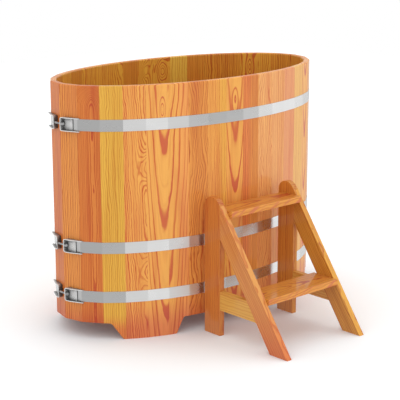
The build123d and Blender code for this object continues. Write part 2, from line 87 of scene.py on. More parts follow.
def waves(tree, vector, counts, seed, detail):
    """Noise from 0 to 1 that differs with the seed, with so many waves to each unit of X, Y and Z."""
    scaled = tree.nodes.new("ShaderNodeVectorMath")
    scaled.operation = "MULTIPLY"
    feed(tree, scaled.inputs[0], vector)
    scaled.inputs[1].default_value = counts
    noise = tree.nodes.new("ShaderNodeTexNoise")
    noise.noise_dimensions = "4D"
    feed(tree, noise.inputs["Vector"], scaled.outputs[0])
    feed(tree, noise.inputs["W"], seed)
    noise.inputs["Scale"].default_value = 1.0
    noise.inputs["Detail"].default_value = detail
    return noise.outputs[0]


def ease(tree, value, low, high, out_low=0.0, out_high=1.0):
    """A value between low and high, eased to one between out_low and out_high."""
    node = tree.nodes.new("ShaderNodeMapRange")
    node.interpolation_type = "SMOOTHSTEP"
    feed(tree, node.inputs["Value"], value)
    feed(tree, node.inputs["From Min"], low)
    feed(tree, node.inputs["From Max"], high)
    feed(tree, node.inputs["To Min"], out_low)
    feed(tree, node.inputs["To Max"], out_high)
    return node.outputs[0]


def fade(tree, value, start, end):
    """A mask that grows from 0 at the start to 1 at the end, whichever of the two is greater."""
    if start < end:
        return ease(tree, value, start, end)
    return ease(tree, value, end, start, 1.0, 0.0)


def blend(tree, factor, first, second, mode="MIX"):
    """Two colours mixed by a factor; 6, 7 and 2 are the Mix node's colour sockets."""
    node = tree.nodes.new("ShaderNodeMix")
    node.data_type = "RGBA"
    node.blend_type = mode
    feed(tree, node.inputs[0], factor)
    feed(tree, node.inputs[6], first)
    feed(tree, node.inputs[7], second)
    return node.outputs[2]


def dye(tree, colour, tint):
    """A colour times a tint."""
    return blend(tree, 1.0, colour, tint, "MULTIPLY")


def grey(tree, value):
    """A grey made of one value."""
    node = tree.nodes.new("ShaderNodeCombineColor")
    for socket in node.inputs:
        feed(tree, socket, value)
    return node.outputs[0]


def new_group(name, inputs, outputs):
    """An empty node group with named sockets: its tree, what it is given and what it puts out."""
    tree = bpy.data.node_groups.new(name, "ShaderNodeTree")
    for label, kind in inputs:
        tree.interface.new_socket(label, in_out="INPUT", socket_type="NodeSocket" + kind)
    for label, kind in outputs:
        tree.interface.new_socket(label, in_out="OUTPUT", socket_type="NodeSocket" + kind)
    return tree, tree.nodes.new("NodeGroupInput").outputs, tree.nodes.new("NodeGroupOutput").inputs


# Growth rings are cylinders round the pith, cut by the board; X lies across it, Y into it, Z along the grain
WOOD_COLOURS = ("Spring Wood", "Summer Wood", "Flame")
CUT = ("Ring Gap", "Pith Side", "Pith Depth", "Taper", "Wander", "Summer Start")
KNOT = ("Knot Side", "Knot Height", "Knot Swell", "Knot Width", "Knot Length", "Knot Repeat")
rings, given, result = new_group(
    "larch growth rings",
    [("Vector", "Vector")]
    + [(label, "Color") for label in WOOD_COLOURS]
    + [(label, "Float") for label in (*CUT, *KNOT, "First Ring", "Seed")],
    [("Color", "Color"), ("Summer", "Float"), ("Fibre", "Float")],
)
point = given["Vector"]
ring_seed = given["Seed"]
slow = waves(rings, point, (8.0, 8.0, 3.4), ring_seed, detail=1.0)
quick = waves(rings, point, (34.0, 34.0, 14.0), ring_seed, detail=2.0)
sway = product(rings, reckon(rings, "SUBTRACT", slow, 0.5), given["Wander"])
ripple = product(rings, reckon(rings, "SUBTRACT", quick, 0.5), given["Wander"])

# How far a point is from the pith, and how nearly its ring lies along the board's face
across, inward, along = apart(rings, point)
side = total(rings, reckon(rings, "SUBTRACT", across, given["Pith Side"]), sway)
depth = total(rings, inward, given["Pith Depth"])
radius = reckon(rings, "SQRT", total(rings, product(rings, side, side), product(rings, depth, depth)))
flatness = reckon(rings, "DIVIDE", depth, radius)

# A knot moves the rings round it by a bell curve, and comes again at each whorl of branches
BELL = 0.368
knot_side = reckon(rings, "SUBTRACT", across, given["Knot Side"])
knot_side = reckon(rings, "DIVIDE", knot_side, given["Knot Width"])
above = reckon(rings, "SUBTRACT", along, given["Knot Height"])
whorl = reckon(rings, "ROUND", reckon(rings, "DIVIDE", above, given["Knot Repeat"]))
knot_up = reckon(rings, "SUBTRACT", above, product(rings, whorl, given["Knot Repeat"]))
knot_up = reckon(rings, "DIVIDE", knot_up, given["Knot Length"])
from_knot = total(rings, product(rings, knot_side, knot_side), product(rings, knot_up, knot_up))
knot = reckon(rings, "POWER", BELL, from_knot)

# Which year a point grew in; the fraction of the year parts the spring wood from the summer wood
year = total(
    rings,
    reckon(rings, "SUBTRACT", radius, product(rings, along, given["Taper"])),
    product(rings, ripple, 0.3),
    product(rings, sway, 0.5),
    product(rings, knot, given["Knot Swell"]),
)
year = total(rings, reckon(rings, "DIVIDE", year, given["Ring Gap"]), given["First Ring"])
uneven = waves(rings, year, (0.42, 0.0, 0.0), ring_seed, detail=0.0)
year = total(rings, year, product(rings, reckon(rings, "SUBTRACT", uneven, 0.5), 1.3))
share = reckon(rings, "FRACT", year)
luck = rings.nodes.new("ShaderNodeTexWhiteNoise")
luck.noise_dimensions = "1D"
feed(rings, luck.inputs["W"], total(rings, reckon(rings, "FLOOR", year), ring_seed))
strength = ease(rings, luck.outputs[0], 0.0, 1.0, 0.55, 1.0)
rise = ease(rings, share, given["Summer Start"], 0.86)
drop = ease(rings, share, 0.90, 1.0, 1.0, 0.0)
summer = product(rings, rise, drop, strength)

# Summer wood, long streaks and the fine lines within a year darken the board; flames and blushes redden it
fibre = waves(rings, point, (620.0, 620.0, 11.0), ring_seed, detail=3.0)
streak = waves(rings, point, (46.0, 46.0, 1.2), ring_seed, detail=2.0)
fine_lines = waves(rings, year, (4.5, 0.0, 0.0), ring_seed, detail=1.0)
darker = total(
    rings,
    product(rings, summer, ease(rings, fibre, 0.2, 0.8, 0.78, 1.0)),
    ease(rings, streak, 0.46, 0.74, 0.0, 0.36),
    ease(rings, fine_lines, 0.48, 0.70, 0.0, 0.24),
)
wood = blend(rings, darker, given["Spring Wood"], given["Summer Wood"])
flame = product(rings, ease(rings, flatness, 0.86, 0.99), ease(rings, summer, 0.15, 0.7, 0.0, 0.9))
wood = blend(rings, flame, wood, given["Flame"])
blush = waves(rings, point, (17.0, 17.0, 2.6), total(rings, ring_seed, 40.0), detail=2.0)
wood = blend(rings, ease(rings, blush, 0.48, 0.78, 0.0, 0.38), wood, given["Flame"])
shade = grey(rings, ease(rings, fibre, 0.25, 0.75, 0.94, 1.05))
feed(rings, result["Color"], dye(rings, wood, shade))
feed(rings, result["Summer"], summer)
feed(rings, result["Fibre"], fibre)

# Each tone has a spring wood, a darker summer wood, and the red of a ring that is cut along its face
TONES = {
    "straw": ((0.88, 0.50, 0.070), (0.60, 0.22, 0.020), (0.68, 0.26, 0.030)),
    "honey": ((0.96, 0.46, 0.095), (0.62, 0.095, 0.018), (0.66, 0.125, 0.045)),
    "amber": ((0.86, 0.34, 0.070), (0.50, 0.085, 0.015), (0.58, 0.085, 0.030)),
    "russet": ((0.76, 0.24, 0.045), (0.50, 0.070, 0.012), (0.54, 0.070, 0.022)),
    "salmon": ((0.90, 0.40, 0.150), (0.70, 0.16, 0.060), (0.70, 0.18, 0.080)),
    "peach": ((0.96, 0.48, 0.150), (0.68, 0.17, 0.050), (0.72, 0.18, 0.070)),
    "wheat": ((0.97, 0.57, 0.150), (0.74, 0.28, 0.055), (0.72, 0.26, 0.060)),
    "chestnut": ((0.68, 0.235, 0.040), (0.48, 0.090, 0.016), (0.46, 0.060, 0.025)),
    "copper": ((0.80, 0.32, 0.070), (0.54, 0.115, 0.028), (0.62, 0.110, 0.055)),
    "gold": ((0.72, 0.33, 0.048), (0.46, 0.120, 0.016), (0.50, 0.110, 0.022)),
    "toffee": ((0.73, 0.31, 0.050), (0.50, 0.110, 0.018), (0.46, 0.070, 0.022)),
    "apricot": ((0.72, 0.300, 0.076), (0.56, 0.145, 0.034), (0.60, 0.125, 0.060)),
    "brass yellow": ((0.76, 0.42, 0.085), (0.62, 0.240, 0.040), (0.60, 0.200, 0.040)),
}
# Each way to cut a board, in metres: ring gap, pith to the side, pith depth, taper and wander.
# The last number is where in a year's ring its summer wood starts.
FIGURES = {
    "plain": (0.0130, 0.30, 0.050, 0.006, 0.050, 0.40),
    "close": (0.0085, 0.30, 0.060, 0.006, 0.050, 0.40),
    "fine": (0.0065, 0.32, 0.080, 0.004, 0.035, 0.40),
    "arched": (0.0055, 0.012, 0.010, 0.004, 0.024, 0.40),
    "wavy": (0.0120, -0.11, 0.020, 0.020, 0.080, 0.40),
    "feather": (0.0080, 0.046, 0.012, 0.050, 0.055, 0.40),
    "flame": (0.0120, 0.002, 0.070, 0.050, 0.014, 0.62),
    "flame at the right": (0.0120, 0.031, 0.074, 0.040, 0.014, 0.62),
    "flame at the left": (0.0120, -0.057, 0.074, 0.040, 0.014, 0.62),
    "cathedral": (0.0090, 0.004, 0.045, 0.050, 0.055, 0.40),
}
# A knot: its place across and along, how far it moves the rings, its width, length and the way to the next.
# A board with one knot alone has the next one off its end, and a knot that moves no ring isn't there.
ALONE = 9.0
NO_KNOT = (0.0, 0.0, 0.0, 0.013, 0.045, ALONE)


def new_material(name):
    """A new material, its node tree and its shader."""
    material = bpy.data.materials.new(name)
    material.use_nodes = True
    return material, material.node_tree, material.node_tree.nodes["Principled BSDF"]


def place_on_object(tree):
    """The place of a point in the object's own coordinates."""
    return tree.nodes.new("ShaderNodeTexCoord").outputs["Object"]


def emboss(tree, surface, height, strength, distance):
    """Gives a shader a fine relief."""
    relief = tree.nodes.new("ShaderNodeBump")
    relief.inputs["Strength"].default_value = strength
    relief.inputs["Distance"].default_value = distance
    feed(tree, relief.inputs["Height"], height)
    feed(tree, surface.inputs["Normal"], relief.outputs[0])


def flared(tree, colour, point, span, seed):
    """A colour with slanting red bands over a span across the board, where its edge cuts the rings."""
    slant = tree.nodes.new("ShaderNodeVectorMath")
    slant.operation = "DOT_PRODUCT"
    feed(tree, slant.inputs[0], point)
    slant.inputs[1].default_value = (0.0, 1.6, -1.0)
    bands = waves(tree, slant.outputs["Value"], (26.0, 0.0, 0.0), seed, detail=1.0)
    mask = fade(tree, apart(tree, point)[0], *span)
    mask = product(tree, mask, ease(tree, bands, 0.50, 0.62, 0.0, 0.75))
    band_red = TONES["salmon"][2]
    return blend(tree, mask, colour, (*band_red, 1.0))


def larch(name, place, across, inward, tone, figure, seed,
          first_ring=0.0, knot=NO_KNOT, gloss=0.4, tints=(), flared_span=None):
    """A varnished board's material: a point of its face, the way across that face and the way into it.

    Each of its tints is an axis (0 across, 1 inward, 2 along), the span it fades in over and its colour.
    A flared span, across the board, is where an edge comes to show slanting red bands.
    """
    material, tree, surface = new_material(name)
    across = Vector(across).normalized()
    inward = Vector(inward).normalized()
    turn = Matrix((across, inward, across.cross(inward))).transposed()
    board = tree.nodes.new("ShaderNodeMapping")
    board.vector_type = "TEXTURE"
    board.inputs["Location"].default_value = place
    board.inputs["Rotation"].default_value = turn.to_euler()
    feed(tree, board.inputs["Vector"], place_on_object(tree))
    point = board.outputs[0]
    grain = tree.nodes.new("ShaderNodeGroup")
    grain.node_tree = rings
    feed(tree, grain.inputs["Vector"], point)
    for label, colour in zip(WOOD_COLOURS, TONES[tone]):
        grain.inputs[label].default_value = (*colour, 1.0)
    for label, value in zip((*CUT, *KNOT), (*FIGURES[figure], *knot)):
        grain.inputs[label].default_value = value
    grain.inputs["First Ring"].default_value = first_ring
    grain.inputs["Seed"].default_value = seed
    colour = grain.outputs["Color"]
    for axis, start, end, tint in tints:
        mask = fade(tree, apart(tree, point)[axis], start, end)
        colour = dye(tree, colour, blend(tree, mask, (1.0, 1.0, 1.0, 1.0), (*tint, 1.0)))
    if flared_span:
        colour = flared(tree, colour, point, flared_span, seed)
    feed(tree, surface.inputs["Base Color"], colour)
    feed(tree, surface.inputs["Roughness"], ease(tree, grain.outputs["Summer"], 0.0, 1.0, 0.52, 0.42))
    height = total(tree, grain.outputs["Summer"], product(tree, grain.outputs["Fibre"], 0.5))
    emboss(tree, surface, height, strength=0.2, distance=0.0003)
    surface.inputs["Specular IOR Level"].default_value = 0.2
    surface.inputs["Coat Weight"].default_value = gloss
    surface.inputs["Coat Roughness"].default_value = 0.08
    return material


def dress(piece, material):
    """Gives a piece one material in place of any others."""
    piece.data.materials.clear()
    piece.data.materials.append(material)


# From the left tip past the front, and back behind the tub: tone, figure and where the rings begin
STAVES = [
    ("amber", "close", 0.0), ("russet", "arched", 0.0), ("straw", "close", 0.0), ("honey", "feather", 0.0),
    ("honey", "flame at the right", 3.22), ("honey", "flame at the left", 3.22), ("amber", "wavy", 0.3),
    ("honey", "fine", 0.0), ("honey", "flame", 0.59), ("amber", "close", 0.0), ("peach", "wavy", 0.0),
    ("peach", "plain", 0.0), ("salmon", "close", 0.0), ("wheat", "plain", 0.5), ("honey", "flame", 0.0),
    ("peach", "close", 0.5), ("honey", "flame", 0.2), ("amber", "close", 0.0), ("amber", "close", 0.0),
    ("honey", "close", 0.0), ("honey", "cathedral", 0.0), ("amber", "close", 0.0),
    ("amber", "wavy", 0.0), ("amber", "fine", 0.0), ("wheat", "plain", 0.0), ("honey", "cathedral", 0.0),
    ("honey", "wavy", 0.0), ("amber", "fine", 0.4), ("honey", "wavy", 0.2), ("honey", "close", 0.0),
    ("honey", "wavy", 0.0), ("amber", "close", 0.0), ("honey", "plain", 0.0), ("amber", "fine", 0.7),
    ("honey", "cathedral", 0.5), ("russet", "plain", 0.0),
]
STAVE_KNOTS = {
    2: (0.0, 1.06, 0.100, 0.200, 0.060, ALONE),
    4: (0.056, 0.70, 0.055, 0.036, 0.070, 0.42),
    5: (0.022, 0.920, -0.026, 0.013, 0.045, ALONE),
    9: (0.002, 0.935, 0.020, 0.013, 0.045, ALONE),
    21: (0.0, 0.95, -0.022, 0.013, 0.045, ALONE),
    26: (0.0, 0.96, 0.050, 0.025, 0.050, 0.38),
    27: (0.010, 0.97, -0.040, 0.020, 0.040, 0.42),
}
# The inner faces are tinted darker and more golden: painted shade, with the warm light
# that the wood bounces inside the tub. The staves grow darker and redder towards the foot,
# and some boards have a streak of another tone along one side
INNER_FACE_PAINTED_SHADE = (1, 0.021, 0.024, (0.82, 0.91, 0.50))
FOOT_END = (2, 0.17, 0.03, (0.83, 0.54, 0.80))
PALE_FOOT_END = (2, 0.11, 0.03, (0.90, 0.48, 0.86))
STREAKS = {
    6: [(0, -0.02, 0.02, (1.0, 0.90, 1.06))],
    8: [(0, -0.01, 0.03, (1.0, 1.14, 0.92))],
    10: [(0, 0.01, -0.02, (1.0, 0.80, 0.95))],
}
# The oval that the outer corners of the staves stand on, and the height of the rounded rim
HALF_LENGTH = 0.655
HALF_WIDTH = 0.345
RIM_HEIGHT = 0.01


def outwardness(spot):
    """How far out a spot of the plan lies; it is 1 on the oval."""
    return (spot[0] / HALF_LENGTH) ** 2 + (spot[1] / HALF_WIDTH) ** 2


for number, (tone, figure, first_ring) in enumerate(STAVES, 1):
    name = f"stave_{number:02d}"
    below_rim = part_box(name)[1].z - RIM_HEIGHT
    plan = {(round(v.co.x, 5), round(v.co.y, 5)) for v in nodes[name].data.vertices if v.co.z < below_rim}
    first, second = [Vector((*spot, 0.0)) for spot in sorted(plan, key=outwardness)[-2:]]
    if first.cross(second).z < 0:
        first, second = second, first
    run = second - first
    into = Vector((-run.y, run.x, 0.0))
    foot_end = PALE_FOOT_END if tone == "straw" else FOOT_END
    wood = larch(name, (first + second) / 2, run, into, tone, figure, seed=1.37 * number,
                 first_ring=first_ring, knot=STAVE_KNOTS.get(number, NO_KNOT),
                 tints=[INNER_FACE_PAINTED_SHADE, foot_end, *STREAKS.get(number, [])])
    dress(nodes[name], wood)

# The floor: seven larch boards in the groove of the staves, laid along the tub with eased edges.
# Three larch battens cross under them, screwed on from below with countersunk stainless screws.


def pick(*pieces):
    """Selects these pieces alone and makes the first one active."""
    bpy.ops.object.select_all(action="DESELECT")
    for piece in pieces:
        piece.select_set(True)
    bpy.context.view_layer.objects.active = pieces[0]


def copied(name, mesh):
    """A new object with its own copy of a mesh."""
    piece = bpy.data.objects.new(name, mesh.copy())
    bpy.context.scene.collection.objects.link(piece)
    pick(piece)
    return piece


def eased(name, body, material, edge, rows=2, crease=30.0):
    """A piece in place of a CAD node: its flat faces made whole and its sharp edges rounded.

    Bends of more degrees than the crease stay crisp.
    """
    piece = copied(name + "_finished", nodes[name].data)
    bpy.ops.object.mode_set(mode="EDIT")
    bpy.ops.mesh.select_all(action="SELECT")
    bpy.ops.mesh.remove_doubles(threshold=0.00001)
    bpy.ops.mesh.dissolve_limited(angle_limit=math.radians(0.5))
    bpy.ops.object.mode_set(mode="OBJECT")
    bevel = piece.modifiers.new("eased edges", "BEVEL")
    bevel.width = edge
    bevel.segments = rows
    bevel.limit_method = "ANGLE"
    bevel.angle_limit = math.radians(35.0)
    bpy.ops.object.modifier_apply(modifier=bevel.name)
    bpy.ops.object.shade_smooth_by_angle(angle=math.radians(crease))
    dress(piece, material)
    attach(piece, body)
    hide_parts(name)
    return piece


# From the back board to the front one, each of its own wood
FLOOR_BOARDS = [
    ("gold", "close"), ("copper", "flame"), ("gold", "cathedral"), ("toffee", "plain"),
    ("gold", "flame"), ("copper", "wavy"), ("toffee", "close"),
]
low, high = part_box("floor_boards")
board_pitch = (high.y - low.y) / len(FLOOR_BOARDS)
floor_woods = []
for index, (tone, figure) in enumerate(FLOOR_BOARDS):
    middle = (0.0, high.y - (index + 0.5) * board_pitch, high.z)
    name = f"floor_larch_{index + 1}"
    floor_woods.append(larch(name, middle, (0, -1, 0), (0, 0, -1), tone, figure, seed=60.0 + 1.7 * index))
floor_piece = eased("floor_boards", "tub", floor_woods[0], edge=0.0012)
for wood in floor_woods[1:]:
    floor_piece.data.materials.append(wood)
for face in floor_piece.data.polygons:
    face.material_index = min(int((high.y - face.center.y) / board_pitch), len(FLOOR_BOARDS) - 1)
# The battens' grain is laid out from the middle of their undersides
batten_place = (0.0, 0.0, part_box("floor_battens")[0].z)
batten_wood = larch("batten_larch", batten_place, (1, 0, 0), (0, 0, 1), "amber", "close", seed=63.0)
dress(nodes["floor_battens"], batten_wood)

# Metal off a lathe or a die: fine rings round its axis and a faint, cloudy tarnish
turned, given, result = new_group(
    "turned metal",
    [("Vector", "Vector"), ("Metal", "Color")],
    [("Color", "Color"), ("Roughness", "Float"), ("Height", "Float")],
)
tool_marks = waves(turned, given["Vector"], (90.0, 90.0, 2600.0), seed=3.0, detail=1.0)
tarnish = waves(turned, given["Vector"], (60.0, 60.0, 60.0), seed=8.0, detail=4.0)
dulled = grey(turned, ease(turned, tarnish, 0.3, 0.75, 1.04, 0.78))
feed(turned, result["Color"], dye(turned, given["Metal"], dulled))
feed(turned, result["Roughness"], ease(turned, tarnish, 0.3, 0.7, 0.22, 0.40))
feed(turned, result["Height"], tool_marks)


def metal(name, finish, colour, relief, turn=(0.0, 0.0, 0.0)):
    """A bare metal's material, with its colour, roughness and relief from a group."""
    material, tree, surface = new_material(name)
    lay = tree.nodes.new("ShaderNodeMapping")
    lay.inputs["Rotation"].default_value = turn
    feed(tree, lay.inputs["Vector"], place_on_object(tree))
    worked = tree.nodes.new("ShaderNodeGroup")
    worked.node_tree = finish
    worked.inputs["Metal"].default_value = (*colour, 1.0)
    feed(tree, worked.inputs["Vector"], lay.outputs[0])
    feed(tree, surface.inputs["Base Color"], worked.outputs["Color"])
    feed(tree, surface.inputs["Roughness"], worked.outputs["Roughness"])
    emboss(tree, surface, worked.outputs["Height"], strength=relief, distance=0.0001)
    surface.inputs["Metallic"].default_value = 1.0
    return material


dress(nodes["batten_screws"], metal("screw_steel", turned, (0.62, 0.62, 0.61), relief=0.1))

# The drain: a turned brass body clamped to the floor by a brass nut from below, with a rubber gasket
# under its flange and a moulded rubber plug that lifts out by its grip.
brass = metal("drain_brass", turned, (0.80, 0.58, 0.24), relief=0.15)
eased("drain_body", "tub", brass, edge=0.0004)
eased("drain_nut", "tub", brass, edge=0.0008)


def rubber(name, darkest):
    """Moulded black rubber with a faint bloom on it."""
    material, tree, surface = new_material(name)
    bloom = waves(tree, place_on_object(tree), (120.0, 120.0, 120.0), seed=4.0, detail=5.0)
    feed(tree, surface.inputs["Base Color"], grey(tree, ease(tree, bloom, 0.3, 0.8, darkest, darkest * 2.4)))
    feed(tree, surface.inputs["Roughness"], ease(tree, bloom, 0.3, 0.7, 0.48, 0.66))
    return material


dress(nodes["drain_gasket"], rubber("gasket_rubber", darkest=0.020))

# The plug's outline from its foot up, each a radius and a height: shank, head, waist and grip
PLUG_OUTLINE = [
    (0.0184, 0.0), (0.0189, 0.0006), (0.0189, 0.0223), (0.0246, 0.0223), (0.0260, 0.0236),
    (0.0259, 0.0262), (0.0205, 0.0280), (0.0110, 0.0290), (0.0066, 0.0308), (0.0056, 0.0350),
    (0.0060, 0.0388), (0.0076, 0.0406), (0.0080, 0.0422), (0.0072, 0.0436), (0.0040, 0.0443),
]
low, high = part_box("drain_plug")
plug_foot = ((low.x + high.x) / 2, 0.0, low.z)
foot_radius = PLUG_OUTLINE[0][0]
bpy.ops.mesh.primitive_circle_add(vertices=64, radius=foot_radius, fill_type="NGON", location=plug_foot)
plug = bpy.context.object
plug.name = "drain_plug_moulded"
bpy.ops.object.mode_set(mode="EDIT")
for (radius_before, height_before), (radius_now, height_now) in zip(PLUG_OUTLINE, PLUG_OUTLINE[1:]):
    bpy.ops.mesh.extrude_region_move(TRANSFORM_OT_translate={"value": (0.0, 0.0, height_now - height_before)})
    growth = radius_now / radius_before
    bpy.ops.transform.resize(value=(growth, growth, 1.0), center_override=plug_foot)
bpy.ops.mesh.select_all(action="SELECT")
bpy.ops.mesh.normals_make_consistent(inside=False)
bpy.ops.object.mode_set(mode="OBJECT")
bpy.ops.object.transform_apply(location=True, rotation=True, scale=True)
bpy.ops.object.shade_smooth_by_angle(angle=math.radians(40.0))
dress(plug, rubber("plug_rubber", darkest=0.018))
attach(plug, "plug")
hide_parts("drain_plug")

# The three hoops: flat straps of stainless steel, brushed along their length, their edges deburred.
# Each one is bent at every joint of the staves, so its flats mirror the room in bands.
satin, given, result = new_group(
    "brushed steel",
    [("Vector", "Vector"), ("Metal", "Color")],
    [("Color", "Color"), ("Roughness", "Float"), ("Height", "Float")],
)
brushing = waves(satin, given["Vector"], (7.0, 7.0, 1900.0), seed=2.0, detail=2.0)
smudge = waves(satin, given["Vector"], (11.0, 11.0, 16.0), seed=5.0, detail=3.0)
brushed = grey(satin, ease(satin, brushing, 0.3, 0.7, 0.96, 1.02))
feed(satin, result["Color"], dye(satin, given["Metal"], brushed))
feed(satin, result["Roughness"], ease(satin, smudge, 0.3, 0.7, 0.25, 0.32))
feed(satin, result["Height"], brushing)
strap_steel = metal("hoop_strap_steel", satin, (0.76, 0.76, 0.755), relief=0.004)
for place in ("top", "middle", "bottom"):
    eased(f"hoop_{place}", "tub", strap_steel, edge=0.0003, crease=3.0)

# The locks: on each hoop, two pressed stainless housings face each other at the tub's left tip.
# Each holds one end of the strap, and its drilled plate takes the bolt. Its hollows are dull, and painted
# shade darkens them.
sheet_steel = metal("lock_sheet_steel", satin, (0.92, 0.92, 0.91), relief=0.004)
tree = sheet_steel.node_tree
surface = tree.nodes["Principled BSDF"]
# Painted shade: ambient occlusion darkens the steel's colour in its hollows and next to the tub's wood
corners = tree.nodes.new("ShaderNodeAmbientOcclusion")
corners.samples = 8
corners.inputs["Distance"].default_value = 0.050
bright = surface.inputs["Base Color"].links[0].from_socket
painted_shade_in_hollows = grey(tree, ease(tree, corners.outputs["AO"], 0.46, 1.0, 0.10, 1.0))
feed(tree, surface.inputs["Base Color"], dye(tree, bright, painted_shade_in_hollows))
surface.inputs["Metallic"].default_value = 0.35
eased("lock_housings", "tub", sheet_steel, edge=0.0006, rows=3)

# The lock bolts: stainless flange bolts with a chamfered hexagon head and a rolled thread, one to a lock.
# The bolt is modelled upright, its flange resting on z = 0 and its shank below, then laid along Y.
HEAD_HEIGHT = 0.0060
HEAD_ACROSS_FLATS = 0.0120
HEAD_CORNER_RADIUS = 0.0070
FLANGE_HEIGHT = 0.0015
FLANGE_RADIUS = 0.0072
SHANK_RADIUS = 0.0040
SHANK_END = -0.0582
THREAD_START = -0.0240
THREAD_END = SHANK_END + 0.0010
CORE_RADIUS = 0.0034
ROOT_RADIUS = 0.0032
RIDGE_HALF_HEIGHT = 0.00058
THREAD_PITCH = 0.00125
THREAD_TURNS = 26
OVERLAP = 0.0002
ALONG_Y = (math.pi / 2, 0.0, 0.0)


def turned_bar(radius, start, end, chamfer, chamfered_end, sides):
    """A round bar along Z with a chamfer at its upper end (1) or its lower one (-1)."""
    middle = (0.0, 0.0, (start + end) / 2)
    bpy.ops.mesh.primitive_cylinder_add(vertices=sides, radius=radius, depth=end - start, location=middle)
    bar = bpy.context.object
    bpy.ops.object.mode_set(mode="EDIT")
    bpy.ops.mesh.select_all(action="DESELECT")
    bpy.ops.object.mode_set(mode="OBJECT")
    for face in bar.data.polygons:
        face.select = face.normal.z * chamfered_end > 0.9
    bpy.ops.object.mode_set(mode="EDIT")
    bpy.ops.mesh.bevel(offset=chamfer, offset_type="OFFSET", segments=2)
    bpy.ops.object.mode_set(mode="OBJECT")
    return bar


bar = turned_bar(SHANK_RADIUS, THREAD_START, OVERLAP, chamfer=0.0006, chamfered_end=-1, sides=48)
core = turned_bar(CORE_RADIUS, SHANK_END, THREAD_START + OVERLAP, chamfer=0.0005, chamfered_end=-1, sides=48)
flange = turned_bar(FLANGE_RADIUS, 0.0, FLANGE_HEIGHT, chamfer=0.0005, chamfered_end=1, sides=64)

# The head is a hexagon, cut down to a round bar with a chamfered top
head_top = FLANGE_HEIGHT + HEAD_HEIGHT
head_foot = FLANGE_HEIGHT - OVERLAP
blank = turned_bar(HEAD_CORNER_RADIUS, head_foot, head_top, chamfer=0.0008, chamfered_end=1, sides=64)
bpy.ops.mesh.primitive_cylinder_add(
    vertices=6,
    radius=HEAD_ACROSS_FLATS / math.sqrt(3.0),
    depth=HEAD_HEIGHT + OVERLAP,
    location=(0.0, 0.0, FLANGE_HEIGHT + HEAD_HEIGHT / 2 - OVERLAP / 2),
)
head = bpy.context.object
chamfer = head.modifiers.new("chamfer", "BOOLEAN")
chamfer.operation = "INTERSECT"
chamfer.object = blank
bpy.ops.object.modifier_apply(modifier=chamfer.name)
bpy.data.objects.remove(blank)
bpy.ops.object.mode_set(mode="EDIT")
bpy.ops.mesh.select_all(action="SELECT")
bpy.ops.mesh.remove_doubles(threshold=0.00002)
bpy.ops.mesh.dissolve_degenerate(threshold=0.00002)
bpy.ops.object.mode_set(mode="OBJECT")

# The thread is a three-sided ridge wound round the core
bpy.ops.mesh.primitive_circle_add(vertices=3, location=(0.0, 0.0, THREAD_END))
ridge = bpy.context.object
profile = ((SHANK_RADIUS, 0.0), (ROOT_RADIUS, RIDGE_HALF_HEIGHT), (ROOT_RADIUS, -RIDGE_HALF_HEIGHT))
for vertex, (out, up) in zip(ridge.data.vertices, profile):
    vertex.co = (out, 0.0, up)
winding = ridge.modifiers.new("winding", "SCREW")
winding.axis = "Z"
winding.angle = 2 * math.pi
winding.screw_offset = THREAD_PITCH
winding.iterations = THREAD_TURNS
winding.steps = 24
winding.render_steps = 24
bpy.ops.object.modifier_apply(modifier=winding.name)
bpy.ops.object.mode_set(mode="EDIT")
bpy.ops.mesh.select_all(action="SELECT")
bpy.ops.mesh.fill_holes(sides=3)
bpy.ops.mesh.normals_make_consistent(inside=False)
bpy.ops.object.mode_set(mode="OBJECT")

pick(head, bar, core, flange, ridge)
bpy.ops.object.transform_apply(location=True, rotation=True, scale=True)
bpy.ops.object.join()
bpy.ops.object.shade_smooth_by_angle(angle=math.radians(30.0))
dress(head, metal("lock_bolt_steel", turned, (0.62, 0.62, 0.62), relief=0.05, turn=ALONG_Y))
for place in ("top", "middle", "bottom"):
    low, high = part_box(f"lock_bolt_{place}")
    bolt = copied(f"lock_bolt_{place}_threaded", head.data)
    bolt.rotation_euler = ALONG_Y
    bolt.location = ((low.x + high.x) / 2, low.y + head_top, (low.z + high.z) / 2)
    bpy.ops.object.transform_apply(location=True, rotation=True, scale=True)
    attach(bolt, f"bolt_{place}")
    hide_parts(f"lock_bolt_{place}")
bpy.data.objects.remove(head)

# The lock nuts: stainless flange nuts, one at the far end of each bolt.
# They press on the second housing's plate and so draw the strap's ends together.
nut_steel = metal("lock_nut_steel", turned, (0.62, 0.62, 0.62), relief=0.05, turn=ALONG_Y)
eased("lock_nuts", "tub", nut_steel, edge=0.0005)

# The step: two side frames of varnished larch, each an upright post with a rounded top, a leaning leg
# and a brace across both. Two treads lie between the frames, pinned to them with dowels.
LEG_LEAN = math.radians(35.2)
STEP_GLOSS = 0.55
# The height that a post's grain is laid out from, and the stretch of a leg over which its foot takes its tint
POST_GRAIN_HEIGHT = 0.3
LEG_FOOT_SPAN = (-0.02, -0.33)
# The front edges of the treads and legs are lightened, a painted light. Behind a front edge, it starts at the
# first distance and is full at the second
EDGE_FADE = (0.0025, 0.0005)
TREAD_EDGE_PAINTED_LIGHT = (1.22, 1.25, 1.35)
# Each frame: side, seed, the woods of its post and its leg, the painted light on its leg's front edge, and
# the tint of its foot
SIDE_FRAMES = [
    ("left", 71.0, "chestnut", "apricot", (1.18, 1.28, 1.18), (0.95, 0.61, 0.70)),
    ("right", 81.0, "toffee", "gold", (1.22, 1.32, 1.25), (1.0, 1.0, 1.0)),
]


def left_face(name):
    """The middle of a side board's left face."""
    low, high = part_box(name)
    return Vector((low.x, (low.y + high.y) / 2, (low.z + high.z) / 2))


